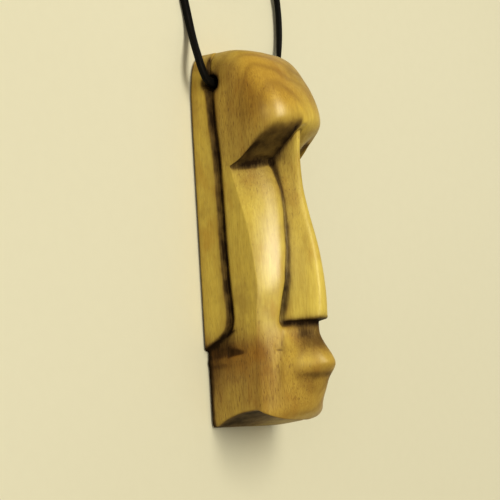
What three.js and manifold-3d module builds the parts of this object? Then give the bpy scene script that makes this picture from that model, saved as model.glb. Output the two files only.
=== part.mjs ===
// A carved wooden pendant: a moai head with a flat back, drilled crosswise near the top for a
// black leather lace. It lies on its back: +Z runs out of the flat back towards the nose, +Y runs
// towards the top of the head, and X runs across it. Millimetres. The origin is on the surface
// that the back rests on, under the middle of the head.
import * as THREE from "three";
import { mergeVertices } from "three/addons/utils/BufferGeometryUtils.js";
import Module from "manifold-3d";

// ---- Driving dimensions ----
const HEIGHT = 80; // chin to top
const SIDE_HALF = 11.2; // half the width over the cheeks
const EAR_PROUD = 1.15; // how far each long ear stands out of the side
const GROOVE_WIDTH = 1.3; // the cut along the ear's front edge
const GROOVE_DEPTH = 0.55;
const BACK_EDGE_RADIUS = 0.8;
const NOSE_BOTTOM = 21.4; // height of the nose's flat underside above the chin
const NOSE_LEDGE = 0.35; // height of the step under the nose and under the ears
const EAR_END_LOW = 16.2; // height of the ear's lower end at the back edge
const EAR_END_SLOPE = 0.53; // the lower end rises by this much for each mm forward
const SOCKET_SIDE = 54.5; // height of the eye socket line at the side of the face
const SOCKET_NOSE = 55.7; // and where it meets the nose
const BROW_SLOPE = 1.06; // the brow's underside rises by this much for each mm forward
const BROW_ROUNDNESS = 2.9; // exponent of the forehead's section
const MUZZLE_ROUNDNESS = 1.7;
const LIPS = { height: 12.4, rise: 2.8, below: 2.4, above: 3.8, half: 8.2, droop: 0.02 };
const FACET_SLOPE = 1.7; // steepness of the flat facet along the cheek, as a share of its rise
const FACET_EASE = 0.12;
const SCOOP_HEIGHT = 15.3; // the hollow in the jaw's side below the ear
const SCOOP_DEPTH = 0.6;
const FAR_ARCH = 0.05; // the underside's arch is cut this share as deep on the right side
const FAR_CORNER = { rise: 1.9, narrow: 0.05, height: 12 }; // the chin's corner is rounded off there
const FAR_BROW = { rise: 1.8, height: 57.5, reach: 3.2 }; // and the brow's end is higher
const HOLE = { height: 73, depth: 5.1, radius: 1.7 }; // the lace's hole, bored along X

const LACE_WIDTH = 1.9;
const LACE_THICKNESS = 1.4;
const LACE_SIDES = 8;
const LACE_STEPS = 30; // along each side of the necklace
const COIL = { x: 3.5, y: 71, turnRadius: 10.5, columns: 4, layers: 2, lift: 0.8 };
const TIE = { angle: 65, width: 2.4, thickness: 0.5 };
const KNOT = { width: 5.2, depth: 3.8, height: 3.4 };
const GAP = 0.3; // between pieces that touch

const WOOD = { color: 0xb9913f, roughness: 0.42, metalness: 0 };
const LEATHER = { color: 0x16130f, roughness: 0.6, metalness: 0 };
const THREAD = { color: 0x0f0e0d, roughness: 0.8, metalness: 0 };

// ---- Curves of the head, each over the height above the chin ----

// A smooth curve through [place, value] keys, with no overshoot between them.
function curve(...keys) {
  const n = keys.length;
  const slopes = keys.map(() => 0);
  const rise = (i) => (keys[i + 1][1] - keys[i][1]) / (keys[i + 1][0] - keys[i][0]);
  slopes[0] = rise(0);
  slopes[n - 1] = rise(n - 2);
  for (let i = 1; i < n - 1; i++) {
    const a = rise(i - 1);
    const b = rise(i);
    slopes[i] = a * b > 0 ? (2 * a * b) / (a + b) : 0;
  }
  return (place) => {
    const p = THREE.MathUtils.clamp(place, keys[0][0], keys[n - 1][0]);
    let i = 0;
    while (i < n - 2 && p > keys[i + 1][0]) i++;
    const h = keys[i + 1][0] - keys[i][0];
    const t = (p - keys[i][0]) / h;
    const t2 = t * t;
    const t3 = t2 * t;
    return (
      (2 * t3 - 3 * t2 + 1) * keys[i][1] +
      (t3 - 2 * t2 + t) * h * slopes[i] +
      (3 * t2 - 2 * t3) * keys[i + 1][1] +
      (t3 - t2) * h * slopes[i + 1]
    );
  };
}

const { clamp, smoothstep, lerp } = THREE.MathUtils;
const bell = (value, middle, width) => Math.exp(-(((value - middle) / width) ** 2));

// Half the width over the sides, rounded at the top corners and the bottom edge.
const sideHalf = curve(
  [0, SIDE_HALF - 0.5], [0.7, SIDE_HALF - 0.1], [2, SIDE_HALF], [60, SIDE_HALF], [70, SIDE_HALF - 0.1],
  [75, SIDE_HALF - 0.3], [77.2, SIDE_HALF - 0.8], [78.8, SIDE_HALF - 1.8], [79.6, SIDE_HALF - 2.7],
  [HEIGHT, SIDE_HALF - 3.3],
);
const earProud = curve([0, EAR_PROUD], [70, EAR_PROUD], [76, 0.6 * EAR_PROUD], [HEIGHT, 0.4 * EAR_PROUD]);
// The cut along the ear's front edge, down to a scratch above the hole.
const grooveSize = curve([0, 1], [71, 1], [76, 0.45], [HEIGHT, 0.35]);
// Depth of the ear's front edge, rounded off at its lower end.
const earDepth = curve(
  [16, 4.1], [19, 5.2], [20.7, 6.2], [22.6, 6.6], [25, 6.5], [29, 6.2], [38, 5.85], [47, 5.7],
  [56, 5.5], [64, 4.9], [70, 4.6], [HEIGHT, 4.5],
);
// Depth of the edge between the side and the front of the face.
const cheekEdge = curve(
  [0, 13.4], [3, 13.1], [6, 12.9], [15, 12.9], [19, 13], [23.3, 13.3], [28.1, 13.9], [34, 13.4],
  [37.7, 12.9], [42.6, 12], [47.6, 10.6], [SOCKET_SIDE, 8.7],
);
// Depth of the face itself on the centre line, below the nose and the mouth.
const faceDepth = curve(
  [0, 14.6], [1, 16], [3, 17.1], [10, 17.8], [16, 17.5], [NOSE_BOTTOM, 17], [25, 17.5], [31, 18.3],
  [36, 18.3], [41, 18], [45, 17.6], [49, 16.9], [53, 15.4], [56, 14],
);
const faceRoundness = curve([0, 2.3], [21, 2.2], [30, 2.2], [45, 1.9], [56, 1.6]);
const noseDepth = curve(
  [NOSE_BOTTOM, 22.4], [22.6, 22.8], [27, 22.85], [33, 22.4], [38.6, 21.45], [45, 19.95], [50.6, 18.95],
  [56.5, 18.8], [61.5, 19.2],
);
const noseHalf = curve([NOSE_BOTTOM, 5.2], [26, 4.8], [33, 4.3], [40, 3.8], [49, 3.3], [56, 3], [62, 2.6]);
const ridgeHalf = curve([NOSE_BOTTOM, 1.9], [27, 1.6], [35, 1.2], [50, 0.8], [62, 0.7]);
const noseGroove = curve([NOSE_BOTTOM, 1.1], [25.5, 1.1], [30, 0.8], [35, 0.5], [45, 0.3], [57, 0.2]);
// Depth of the muzzle on the centre line, without the lips, and half its width.
const muzzleDepth = curve(
  [0, 14.6], [0.5, 15.7], [1.2, 17], [2.3, 18.5], [5.2, 20.2], [8.1, 21.5], [10.1, 21.8], [14, 21.1],
  [18.5, 20.9], [NOSE_BOTTOM, 20.7],
);
const muzzleHalf = curve([0, 8.5], [9, 8.3], [12, 8], [16, 7], [NOSE_BOTTOM, 5.6]);
const foreheadDepth = curve(
  [SOCKET_SIDE, 20.7], [60, 21.4], [63.2, 21.75], [65.5, 21.55], [69.2, 20.4], [74.3, 17.6], [77, 15.8],
  [78.6, 14.1], [79.5, 12.5], [HEIGHT, 10.7],
);
const foreheadEdge = curve(
  [SOCKET_SIDE, 8.7], [60, 9.2], [65, 9.3], [70, 8.8], [75, 7.8], [78, 6.9], [HEIGHT, 6.4],
);

// Heights that follow the depth: the brow's lower edge, the arched underside, and the line that
// carries the ears' lower ends and, in front, the nose's underside.
const browEdge = curve(
  [8.7, 54.7], [11.5, 55.7], [13.7, 57.3], [16.4, 60.2], [18.5, 62.1], [20.2, 63], [21.4, 63.2],
);
const underside = curve(
  [0, 0], [1.2, 0.1], [4.3, 1.5], [8.8, 2.75], [11.5, 2.95], [13.8, 2.1], [15.9, 0.6], [17.2, 0.05],
  [24, 0],
);
const EAR_END_HIGH = EAR_END_LOW + EAR_END_SLOPE * 7.4;
function ledgeHeight(depth) {
  const ear = EAR_END_LOW + EAR_END_SLOPE * clamp(depth, 0, 7.4);
  return ear + (NOSE_BOTTOM - EAR_END_HIGH) * smoothstep(depth, 7.4, 12.5);
}

// ---- Sections of the head ----

// Steps along each stretch of half a section, from the middle of the back round to the nose.
const STEPS = { back: 3, edge: 2, ear: 3, groove: 4, side: 4, face: 11, nose: 4, ridge: 2 };
const STRETCHES = Object.keys(STEPS);
const ROWS = { jaw: 15, face: 20, brow: 3, forehead: 14 };

const superellipse = (share, power) => Math.max(0, 1 - Math.min(1, share) ** power) ** (1 / power);

// The cheek's profile: a flat facet from the edge of the face, easing into a rounded front. The
// facet fades out over the jaw.
function cheekProfile(share, height) {
  const facet = FACET_SLOPE * (1 - Math.min(1, share));
  const round = superellipse(share, faceRoundness(height));
  const mix = clamp(0.5 + (0.5 * (round - facet)) / FACET_EASE, 0, 1);
  const flat = lerp(round, facet, mix) - FACET_EASE * mix * (1 - mix);
  return lerp(round, flat, lerp(0.5, 1, smoothstep(height, 12, NOSE_BOTTOM)));
}

// The lips: one ridge across the muzzle that runs out towards its sides.
function lips(x, height) {
  const middle = LIPS.height - LIPS.droop * x ** 2;
  const reach = height < middle ? LIPS.below : LIPS.above;
  const across = Math.max(0, 1 - (x / LIPS.half) ** 2) ** 1.5;
  return LIPS.rise * across * bell(height, middle, reach);
}

// The depth of the front surface at a distance x from the centre line.
function frontDepth(x, height, zone, half, edge) {
  if (zone === "forehead") {
    return edge + (foreheadDepth(height) - edge) * superellipse(x / half, BROW_ROUNDNESS);
  }
  const face = (at) => edge + (faceDepth(height) - edge) * cheekProfile(at / half, height);
  const base = noseHalf(height);
  const groove = noseGroove(height);
  if (zone === "jaw") {
    const bulge = Math.max(0, 1 - (x / muzzleHalf(height)) ** 2) ** MUZZLE_ROUNDNESS;
    const fade = groove * bell(x, base, 1) * smoothstep(height, 19.2, NOSE_BOTTOM) * (1 - bulge);
    return face(x) + (muzzleDepth(height) - faceDepth(height)) * bulge + lips(x, height) - fade;
  }
  if (x >= base) return face(x) - groove * bell(x, base, 1);
  const ridge = ridgeHalf(height);
  const start = face(base) - groove;
  const climb = clamp((base - x) / (base - ridge), 0, 1) ** 0.85;
  const crown = 0.3 * Math.max(0, 1 - (x / ridge) ** 2);
  return start + (noseDepth(height) - start) * climb + crown;
}

// Point number t (0 to 1) of one stretch, at one height, as [x, depth].
function sectionPoint(stretch, t, height, zone) {
  const half = sideHalf(height);
  const proud = zone === "jaw" ? 0 : earProud(height);
  const outer = half + proud;
  const ear = earDepth(height);
  const grooveWidth = GROOVE_WIDTH * grooveSize(height);
  const grooveEnd = ear + grooveWidth;
  const edge = Math.max(zone === "forehead" ? foreheadEdge(height) : cheekEdge(height), grooveEnd + 0.3);
  const base = noseHalf(height);
  const ridge = ridgeHalf(height);
  if (stretch === "back") return [t * (outer - BACK_EDGE_RADIUS), 0];
  if (stretch === "edge") {
    const turn = (t * Math.PI) / 2;
    return [
      outer - BACK_EDGE_RADIUS * (1 - Math.sin(turn)),
      BACK_EDGE_RADIUS * (1 - Math.cos(turn)),
    ];
  }
  if (stretch === "ear") return [outer, lerp(BACK_EDGE_RADIUS, ear, t)];
  if (stretch === "groove") {
    const cut = Math.sin(Math.PI * clamp((t - 0.1) / 0.9, 0, 1));
    const depth = zone === "jaw" ? 0 : GROOVE_DEPTH * grooveSize(height) ** 2 * cut;
    return [lerp(outer, half, smoothstep(t, 0, 0.45)) - depth, ear + t * grooveWidth];
  }
  if (stretch === "side") {
    const z = lerp(grooveEnd, edge, t);
    const scoop = SCOOP_DEPTH * bell(height, SCOOP_HEIGHT, 1) * (1 - smoothstep(z, 6.5, 11.5));
    return [zone === "jaw" ? half - scoop : half, z];
  }
  let x = lerp(base, ridge, t);
  if (stretch === "face") {
    const power = zone === "forehead" ? BROW_ROUNDNESS : faceRoundness(height);
    const last = Math.acos((base / half) ** (power / 2));
    x = half * Math.cos(t * last) ** (2 / power);
  }
  if (stretch === "ridge") x = ridge * (1 - t);
  return [x, frontDepth(x, height, zone, half, edge)];
}

// The columns of half a section: which stretch each lies on, and how far along it.
const COLUMNS = STRETCHES.flatMap((stretch) => {
  const steps = STEPS[stretch];
  const count = stretch === "ridge" ? steps + 1 : steps;
  return Array.from({ length: count }, (_, i) => ({ stretch, t: i / steps }));
});
// How far a column lies along a stretch: 0 before it, 1 after it.
function along(column, stretch) {
  if (column.stretch === stretch) return column.t;
  return STRETCHES.indexOf(column.stretch) > STRETCHES.indexOf(stretch) ? 1 : 0;
}
const NOSE_BASE = COLUMNS.findIndex((column) => column.stretch === "nose");

// A row of points, one on each column, at the heights that heightAt(column, depth) settles on.
function row(zone, heightAt, start) {
  const points = COLUMNS.map((column) => {
    let height = start;
    for (let pass = 0; pass < 40; pass++) {
      const depth = sectionPoint(column.stretch, column.t, height, zone)[1];
      height = lerp(height, heightAt(column, depth), 0.4);
    }
    const [x, z] = sectionPoint(column.stretch, column.t, height, zone);
    return [x, height, z];
  });
  return points;
}

// The line where the face meets the underside of the brow; it climbs the sides of the nose.
function socketRow() {
  const corner = (column) =>
    SOCKET_SIDE - 0.4 * (1 - along(column, "side")) + (SOCKET_NOSE - SOCKET_SIDE) * along(column, "face");
  const [, , baseDepth] = row("face", corner, SOCKET_NOSE)[NOSE_BASE];
  const climb = (column, depth) =>
    COLUMNS.indexOf(column) > NOSE_BASE ? SOCKET_NOSE + BROW_SLOPE * (depth - baseDepth) : corner(column);
  return row("face", climb, SOCKET_NOSE);
}

function headRows() {
  const rows = [];
  for (let i = 0; i <= ROWS.jaw; i++) {
    const t = (i / ROWS.jaw) ** 1.2;
    const place = (column, z) => lerp(underside(z), ledgeHeight(z) - NOSE_LEDGE, t);
    rows.push(row("jaw", place, 20 * t));
  }
  const socket = socketRow();
  for (let i = 0; i < ROWS.face; i++) {
    const t = i / ROWS.face;
    const place = (column, z) => lerp(ledgeHeight(z), socket[COLUMNS.indexOf(column)][1], t);
    rows.push(row("face", place, lerp(NOSE_BOTTOM, SOCKET_NOSE, t)));
  }
  const brow = row("forehead", (column, z) => browEdge(z) + 0.5 * (1 - along(column, "side")), 60);
  for (let i = 0; i < ROWS.brow; i++) {
    rows.push(socket.map((point, j) => point.map((value, k) => lerp(value, brow[j][k], i / ROWS.brow))));
  }
  for (let i = 0; i <= ROWS.forehead; i++) {
    const t = 1 - (1 - i / ROWS.forehead) ** 1.6;
    const place = (column) => lerp(brow[COLUMNS.indexOf(column)][1], HEIGHT, t);
    rows.push(row("forehead", place, lerp(60, HEIGHT, t)));
  }
  return rows;
}

// ---- The head's closed surface ----

// The right side is cut unevenly: the foot's arch is shallower, the chin's corner rounder and the
// brow's end higher.
function unevenRight(x, height, depth) {
  const front = smoothstep(depth, 8, 14);
  const right = smoothstep(x, -0.6 * SIDE_HALF, 0.6 * SIDE_HALF);
  const arch = (1 - FAR_ARCH) * right * (1 - front) * underside(depth);
  const fill = arch * clamp(1 - height / EAR_END_LOW, 0, 1);
  const corner = front * Math.max(0, x / SIDE_HALF) ** 2.2;
  const rounding = corner * clamp(1 - height / FAR_CORNER.height, 0, 1) ** 2;
  const brow = FAR_BROW.rise * smoothstep(x, 3, 9) * bell(height, FAR_BROW.height, FAR_BROW.reach);
  return [x * (1 - FAR_CORNER.narrow * rounding), height - fill + FAR_CORNER.rise * rounding + brow];
}

// Rings of points, mirrored across the centre line, with ruled faces over the first and last ring.
function headGeometry() {
  const points = [];
  const triangles = [];
  const quad = (a, b, c, d) => triangles.push(a, b, c, a, c, d);
  const rows = headRows();
  const last = COLUMNS.length - 1;
  const around = 2 * last;
  for (const half of rows) {
    for (let j = 0; j < around; j++) {
      const [x, height, depth] = half[j <= last ? j : around - j];
      const [side, level] = unevenRight(j <= last ? -x : x, height, depth);
      points.push([side, level - HEIGHT / 2, depth]);
    }
  }
  for (let i = 0; i + 1 < rows.length; i++) {
    for (let j = 0; j < around; j++) {
      const next = (j + 1) % around;
      const low = i * around;
      const high = low + around;
      quad(low + j, low + next, high + next, high + j);
    }
  }
  const across = 2 * STEPS.back;
  const cap = (base, face) => {
    const start = (s) => base + ((STEPS.back - s + around) % around);
    let previous = Array.from({ length: across + 1 }, (_, s) => start(s));
    for (let j = STEPS.back + 1; j < last; j++) {
      const left = base + j;
      const right = base + around - j;
      const line = [left];
      for (let s = 1; s < across; s++) {
        line.push(points.length);
        points.push(points[left].map((value, k) => lerp(value, points[right][k], s / across)));
      }
      line.push(right);
      for (let s = 0; s < across; s++) face(previous[s], previous[s + 1], line[s + 1], line[s]);
      previous = line;
    }
    for (let s = 0; s < across; s++) face(previous[s], previous[s + 1], base + last);
  };
  const up = (...corners) => {
    for (let k = 1; k + 1 < corners.length; k++) triangles.push(corners[0], corners[k + 1], corners[k]);
  };
  const down = (...corners) => up(...corners.reverse());
  cap(0, down);
  cap((rows.length - 1) * around, up);
  const geometry = new THREE.BufferGeometry();
  geometry.setAttribute("position", new THREE.Float32BufferAttribute(points.flat(), 3));
  geometry.setIndex(triangles);
  return geometry;
}

// ---- Joining and cutting ----

const wasm = await Module();
wasm.setup();

function toSolid(geometry) {
  const bare = geometry.clone();
  bare.deleteAttribute("normal");
  bare.deleteAttribute("uv");
  const merged = mergeVertices(bare, 1e-4);
  const mesh = new wasm.Mesh({
    numProp: 3,
    vertProperties: new Float32Array(merged.attributes.position.array),
    triVerts: new Uint32Array(merged.index.array),
  });
  return new wasm.Manifold(mesh);
}

function toGeometry(solid) {
  const { vertProperties, triVerts } = solid.getMesh();
  const geometry = new THREE.BufferGeometry();
  geometry.setAttribute("position", new THREE.BufferAttribute(vertProperties, 3));
  geometry.setIndex(new THREE.BufferAttribute(triVerts, 1));
  geometry.computeVertexNormals();
  return geometry;
}

function drilledHead() {
  const bore = new THREE.CylinderGeometry(HOLE.radius, HOLE.radius, 4 * SIDE_HALF, 20);
  bore.rotateZ(Math.PI / 2);
  bore.translate(0, HOLE.height - HEIGHT / 2, HOLE.depth);
  return toGeometry(toSolid(headGeometry()).subtract(toSolid(bore)));
}

// ---- The lace ----

// Its route outside the coil: from the hole's middle out of each side, down on to the surface and
// along it to the coil. The last point of each lies just outside the coil.
const HOLE_Y = HOLE.height - HEIGHT / 2;
const LEFT_ROUTE = [
  [0, HOLE_Y, HOLE.depth], [-6, HOLE_Y, HOLE.depth], [-10.2, HOLE_Y, HOLE.depth], [-12.6, 33.7, 5.1],
  [-14, 36.2, 4.9], [-13.7, 38.9, 3.9], [-12.8, 41.8, 2.5], [-12.1, 45, 1.3], [-12.3, 48.4, 0.8],
  [-13.1, 51.6, 0.75], [-13.8, 55.2, 0.75], [-13.8, 59, 0.85], [-13, 62.6, 1.1], [-12, 65.6, 1.35],
  [-11.4, 68, 1.5],
];
const RIGHT_ROUTE = [
  [0, HOLE_Y, HOLE.depth], [6, HOLE_Y, HOLE.depth], [10.2, HOLE_Y, HOLE.depth], [12.7, 33.7, 5.1],
  [14.8, 36, 4.7], [17.2, 38.9, 3.3], [19.6, 41.8, 1.8], [21.3, 45, 0.95], [22.1, 48.6, 0.75],
  [22.3, 52.6, 0.75], [22, 56.6, 0.85], [21, 60.6, 1.3], [19.6, 64.4, 2.1], [18.4, 68, 2.9],
];

function roundSection(thickness) {
  const shape = new THREE.Shape();
  for (let i = 0; i < LACE_SIDES; i++) {
    const turn = ((i + 0.5) / LACE_SIDES) * 2 * Math.PI;
    const grow = 1 / Math.cos(Math.PI / LACE_SIDES);
    const x = (thickness / 2) * grow * Math.cos(turn);
    const y = (thickness / 2) * grow * Math.sin(turn);
    if (i === 0) shape.moveTo(x, y);
    else shape.lineTo(x, y);
  }
  shape.closePath();
  return shape;
}

// One tube: down the left side from the coil, through the hole, and back along the right side.
function laceGeometry() {
  const places = [...LEFT_ROUTE.slice(1).reverse(), ...RIGHT_ROUTE];
  const points = places.map((place) => new THREE.Vector3(...place));
  const route = new THREE.CatmullRomCurve3(points, false, "centripetal");
  return new THREE.ExtrudeGeometry(roundSection(LACE_THICKNESS), {
    steps: 2 * LACE_STEPS,
    curveSegments: 1,
    extrudePath: route,
    bevelEnabled: false,
  });
}

// The coil's outer shape: a flat ring of turns lying beside and on each other.
const COIL_INNER = COIL.turnRadius - (COIL.columns * LACE_WIDTH) / 2;
const COIL_OUTER = COIL.turnRadius + (COIL.columns * LACE_WIDTH) / 2;
const COIL_TOP = COIL.lift + COIL.layers * LACE_THICKNESS;

function coilGeometry() {
  const corner = LACE_THICKNESS / 2;
  const profile = [
    [COIL_INNER, COIL.lift + corner], [COIL_INNER + corner, COIL.lift], [COIL_OUTER - corner, COIL.lift],
    [COIL_OUTER, COIL.lift + corner], [COIL_OUTER, COIL_TOP - corner], [COIL_OUTER - corner, COIL_TOP],
    [COIL_INNER + corner, COIL_TOP], [COIL_INNER, COIL_TOP - corner], [COIL_INNER, COIL.lift + corner],
  ];
  const ring = new THREE.LatheGeometry(profile.map(([r, z]) => new THREE.Vector2(r, z)), 40);
  return ring.rotateX(Math.PI / 2);
}

// A flat band of thread round the bundle of turns, seen along the lace as a slot in a plate.
function tieGeometry() {
  const plate = (low, high, bottom, top) => [
    new THREE.Vector2(low, bottom), new THREE.Vector2(high, bottom),
    new THREE.Vector2(high, top), new THREE.Vector2(low, top),
  ];
  const inner = [COIL_INNER - GAP, COIL_OUTER + GAP, TIE.thickness, COIL_TOP + GAP];
  const outer = [inner[0] - TIE.thickness, inner[1] + TIE.thickness, 0, inner[3] + TIE.thickness];
  const shape = new THREE.Shape(plate(...outer));
  shape.holes.push(new THREE.Path(plate(...inner)));
  const band = new THREE.ExtrudeGeometry(shape, { depth: TIE.width, bevelEnabled: false });
  return band.translate(0, 0, -TIE.width / 2).rotateX(Math.PI / 2);
}

// The knot that joins the lace's two ends, lying beside the coil.
function knotGeometry() {
  return new THREE.SphereGeometry(0.5, 16, 10).scale(KNOT.width, KNOT.depth, KNOT.height);
}

// ---- The scene ----

function part(name, geometry, look) {
  const mesh = new THREE.Mesh(geometry, new THREE.MeshStandardMaterial(look));
  mesh.name = name;
  return mesh;
}

const pendant = new THREE.Group();
pendant.add(part("head", drilledHead(), WOOD));
pendant.add(part("lace", laceGeometry(), LEATHER));

const storage = new THREE.Group();
storage.position.set(COIL.x, COIL.y, 0);
storage.add(part("lace_coil", coilGeometry(), LEATHER));

const tie = part("coil_tie", tieGeometry(), THREAD);
tie.rotation.z = THREE.MathUtils.degToRad(TIE.angle);
storage.add(tie);

const knot = part("neck_knot", knotGeometry(), LEATHER);
knot.position.set(0, COIL_OUTER + GAP + KNOT.depth / 2, KNOT.height / 2);
storage.add(knot);
pendant.add(storage);

export default pendant;
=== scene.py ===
"""A hand-carved wooden pendant, a moai head with a flat back, on a black leather lace.

The head lies on its back on a pale floor: +Z runs from the back to the nose, +Y to the top of
the head. Lengths are written in millimetres and turned into metres by MM, except the lights',
which are in metres.
"""

import math

import bmesh
import bpy
import numpy as np
from mathutils import Matrix, Vector, noise


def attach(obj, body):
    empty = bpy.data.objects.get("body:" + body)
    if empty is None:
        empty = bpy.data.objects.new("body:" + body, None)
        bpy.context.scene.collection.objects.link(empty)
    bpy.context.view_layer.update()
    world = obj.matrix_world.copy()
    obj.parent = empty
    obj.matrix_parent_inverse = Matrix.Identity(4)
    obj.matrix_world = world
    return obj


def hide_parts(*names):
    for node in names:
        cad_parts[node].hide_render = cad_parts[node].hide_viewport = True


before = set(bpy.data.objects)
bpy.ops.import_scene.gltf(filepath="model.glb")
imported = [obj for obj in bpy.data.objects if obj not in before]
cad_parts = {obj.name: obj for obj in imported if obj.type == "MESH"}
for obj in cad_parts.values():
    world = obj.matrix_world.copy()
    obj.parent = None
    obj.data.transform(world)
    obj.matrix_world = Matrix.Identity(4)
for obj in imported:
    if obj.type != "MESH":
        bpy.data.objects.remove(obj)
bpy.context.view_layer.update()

MM = 0.001


# ---- Camera ----

CAMERA_AIM = Vector((-7.4, -3.2, 10.0)) * MM
CAMERA_DISTANCE = 400 * MM
CAMERA_YAW = math.radians(55)  # from straight above the face, towards the head's left side
CAMERA_PITCH = math.radians(6)  # and towards the chin
CAMERA_ROLL = math.radians(3.46)
CAMERA_LENS = 136.54


def make_camera():
    back = Vector((
        -math.sin(CAMERA_YAW) * math.cos(CAMERA_PITCH),
        -math.sin(CAMERA_PITCH),
        math.cos(CAMERA_YAW) * math.cos(CAMERA_PITCH),
    ))
    level_right = Vector((0, 1, 0)).cross(back).normalized()
    level_up = back.cross(level_right)
    right = math.cos(CAMERA_ROLL) * level_right - math.sin(CAMERA_ROLL) * level_up
    up = math.cos(CAMERA_ROLL) * level_up + math.sin(CAMERA_ROLL) * level_right
    data = bpy.data.cameras.new("camera")
    data.lens = CAMERA_LENS
    data.sensor_width = 36
    data.clip_start = 10 * MM
    camera = bpy.data.objects.new("camera", data)
    bpy.context.scene.collection.objects.link(camera)
    camera.matrix_world = Matrix((right, up, back)).transposed().to_4x4()
    camera.location = CAMERA_AIM + CAMERA_DISTANCE * back
    bpy.context.scene.camera = camera


make_camera()


# ---- Small helpers ----

def clamp01(value):
    return np.clip(value, 0.0, 1.0)


def rising(value, low, high):
    t = clamp01((value - low) / (high - low))
    return t * t * (3 - 2 * t)


def falling(value, low, high):
    return 1 - rising(value, low, high)


def bell(value, middle, width):
    return np.exp(-(((value - middle) / width) ** 2))


def lerp(a, b, t):
    return a + (b - a) * t


def curve(*keys):
    """A smooth function through (place, value) keys, with no overshoot between them."""
    places = np.array([key[0] for key in keys], float)
    values = np.array([key[1] for key in keys], float)
    steps = np.diff(places)
    rises = np.diff(values) / steps
    slopes = np.zeros(len(keys))
    slopes[0] = rises[0]
    slopes[-1] = rises[-1]
    same = rises[:-1] * rises[1:] > 0
    total = np.where(same, rises[:-1] + rises[1:], 1.0)
    slopes[1:-1] = np.where(same, 2 * rises[:-1] * rises[1:] / total, 0.0)

    def value_at(place):
        p = np.clip(place, places[0], places[-1])
        i = np.clip(np.searchsorted(places, p, side="left") - 1, 0, len(steps) - 1)
        h = steps[i]
        t = (p - places[i]) / h
        t2 = t * t
        t3 = t2 * t
        return (
            (2 * t3 - 3 * t2 + 1) * values[i]
            + (t3 - 2 * t2 + t) * h * slopes[i]
            + (3 * t2 - 2 * t3) * values[i + 1]
            + (t3 - t2) * h * slopes[i + 1]
        )

    return value_at


def mesh_object(name, points_mm, faces):
    mesh = bpy.data.meshes.new(name)
    mesh.from_pydata((np.asarray(points_mm) * MM).tolist(), [], faces)
    mesh.update()
    mesh.shade_smooth()
    piece = bpy.data.objects.new(name, mesh)
    bpy.context.scene.collection.objects.link(piece)
    return piece


def grid_faces(rows, around):
    """Quads between closed rings of points, one ring after another."""
    faces = []
    for i in range(rows - 1):
        for j in range(around):
            k = (j + 1) % around
            faces.append((i * around + j, i * around + k, (i + 1) * around + k, (i + 1) * around + j))
    return faces


def tube_object(name, rings, count, sides):
    faces = grid_faces(count, sides)
    faces.append(tuple(range(sides))[::-1])
    faces.append(tuple(range((count - 1) * sides, count * sides)))
    return mesh_object(name, rings, faces)


def set_attribute(piece, name, values):
    attribute = piece.data.attributes.new(name, "FLOAT", "POINT")
    attribute.data.foreach_set("value", np.asarray(values, np.float32))


def perlin(points, scale, offset=0.0):
    """Smooth noise of about -1 to 1 at each point; scale is the size of its lumps, along each axis."""
    places = np.asarray(points) / np.asarray(scale, float) + offset
    return np.array([noise.noise(Vector(place)) for place in places])


def catmull_rom(points, spacing):
    """Points about spacing apart on the centripetal Catmull-Rom curve through these ones."""
    p = np.asarray(points, float)
    p = np.vstack([2 * p[0] - p[1], p, 2 * p[-1] - p[-2]])
    line = []
    for a, b, c, d in zip(p, p[1:], p[2:], p[3:]):
        t1 = math.sqrt(np.linalg.norm(b - a))
        t2 = t1 + math.sqrt(np.linalg.norm(c - b))
        t3 = t2 + math.sqrt(np.linalg.norm(d - c))
        count = max(2, round(np.linalg.norm(c - b) / spacing))
        t = (t1 + (t2 - t1) * np.arange(count) / count)[:, None]
        ab = (t1 - t) / t1 * a + t / t1 * b
        bc = (t2 - t) / (t2 - t1) * b + (t - t1) / (t2 - t1) * c
        cd = (t3 - t) / (t3 - t2) * c + (t - t2) / (t3 - t2) * d
        abc = (t2 - t) / t2 * ab + t / t2 * bc
        bcd = (t3 - t) / (t3 - t1) * bc + (t - t1) / (t3 - t1) * cd
        line.append((t2 - t) / (t2 - t1) * abc + (t - t1) / (t2 - t1) * bcd)
    line.append(p[-2:-1])
    return np.vstack(line)


def directions(path):
    ahead = np.gradient(path, axis=0)
    return ahead / np.linalg.norm(ahead, axis=1)[:, None]


def signed_power(value, power):
    return np.sign(value) * np.abs(value) ** power


def swept(name, path, width, height, turn, sides, squareness):
    """A tube along a path, with a rounded oblong section. Its flat faces look up where turn is 0."""
    width, height, turn = (np.broadcast_to(value, len(path))[:, None] for value in (width, height, turn))
    ahead = directions(path)
    up = np.array([0, 0, 1.0]) - ahead[:, 2:3] * ahead
    up /= np.linalg.norm(up, axis=1)[:, None]
    across = np.cross(ahead, up)
    wide = np.cos(turn) * across + np.sin(turn) * up
    thick = np.cos(turn) * up - np.sin(turn) * across
    angle = (np.arange(sides) + 0.5) / sides * 2 * math.pi
    out = signed_power(np.cos(angle), 2 / squareness)
    rise = signed_power(np.sin(angle), 2 / squareness)
    rings = (
        path[:, None, :]
        + out[None, :, None] * (width / 2 * wide)[:, None, :]
        + rise[None, :, None] * (height / 2 * thick)[:, None, :]
    )
    return tube_object(name, rings.reshape(-1, 3), len(path), sides)


# ---- The leather lace: through the hole, then wound into a coil above the head ----

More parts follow.
